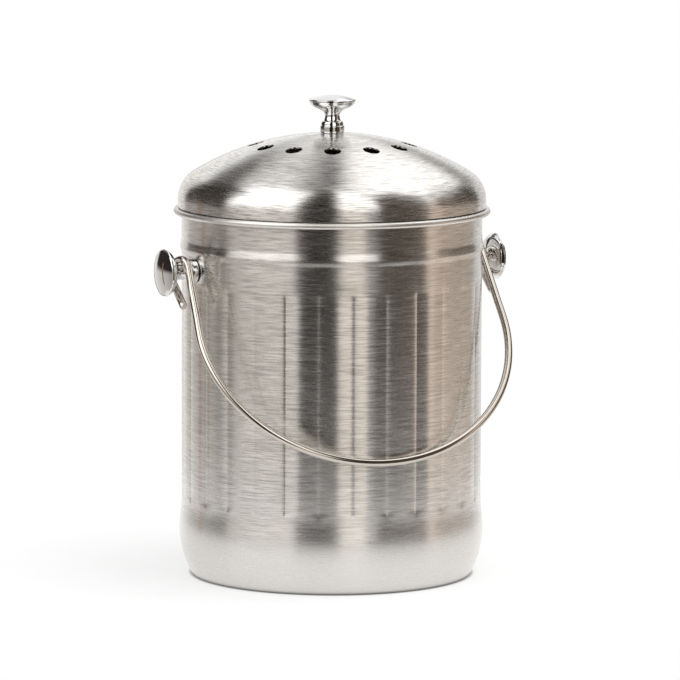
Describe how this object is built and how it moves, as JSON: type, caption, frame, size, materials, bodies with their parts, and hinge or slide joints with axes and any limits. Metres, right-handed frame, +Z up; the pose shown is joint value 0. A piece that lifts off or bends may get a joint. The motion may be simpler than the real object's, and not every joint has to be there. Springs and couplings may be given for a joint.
{
  "type": "compost pail",
  "caption": "Stainless steel countertop compost pail with fluted wall, vented domed lid, charcoal filter, round knobs and a swinging wire bail.",
  "frame": {"origin": "on the table under the middle of the pail", "axes": "+Z up along the pail's axis; X along the common axis of the two side knobs; -Y to the side where the bail hangs"},
  "size_m": [0.2202, 0.1851, 0.2813],
  "materials": {
    "body_steel": "brushed round the wall, satin, warm grey",
    "lid_steel": "brushed round the crown, satin, warm grey",
    "polished_steel": "polished bright",
    "bail_steel": "drawn wire, polished bright",
    "inner_steel": "plain mill finish",
    "zinc": "zinc plated",
    "black_plastic": "moulded, fine satin",
    "charcoal_felt": "open fibre mat with charcoal"
  },
  "bodies": {
    "pail": {"pail_body": "body_steel", "left_knob": "polished_steel", "left_knob_washer": "zinc", "left_knob_screw": "zinc", "right_knob": "polished_steel", "right_knob_washer": "zinc", "right_knob_screw": "zinc"},
    "bail": {"bail_handle": "bail_steel"},
    "lid": {"lid_shell": "lid_steel", "lid_plug_ring": "inner_steel", "lid_knob": "polished_steel", "lid_knob_washer": "zinc", "lid_knob_screw": "zinc"},
    "filter": {"filter_holder": "black_plastic", "charcoal_filter": "charcoal_felt"}
  },
  "joints": [
    {"name": "bail_swing", "type": "hinge", "parent": "pail", "child": "bail", "pos_m": [0, 0, 0.182], "axis": [-1, 0, 0], "range_deg": [0, 277.7]},
    {"name": "lid_lift", "type": "slide", "parent": "pail", "child": "lid", "axis": [0, 0, 1], "range_m": [0, 0.08]},
    {"name": "filter_drop", "type": "slide", "parent": "lid", "child": "filter", "axis": [0, 0, -1], "range_m": [0, 0.012]}
  ]
}
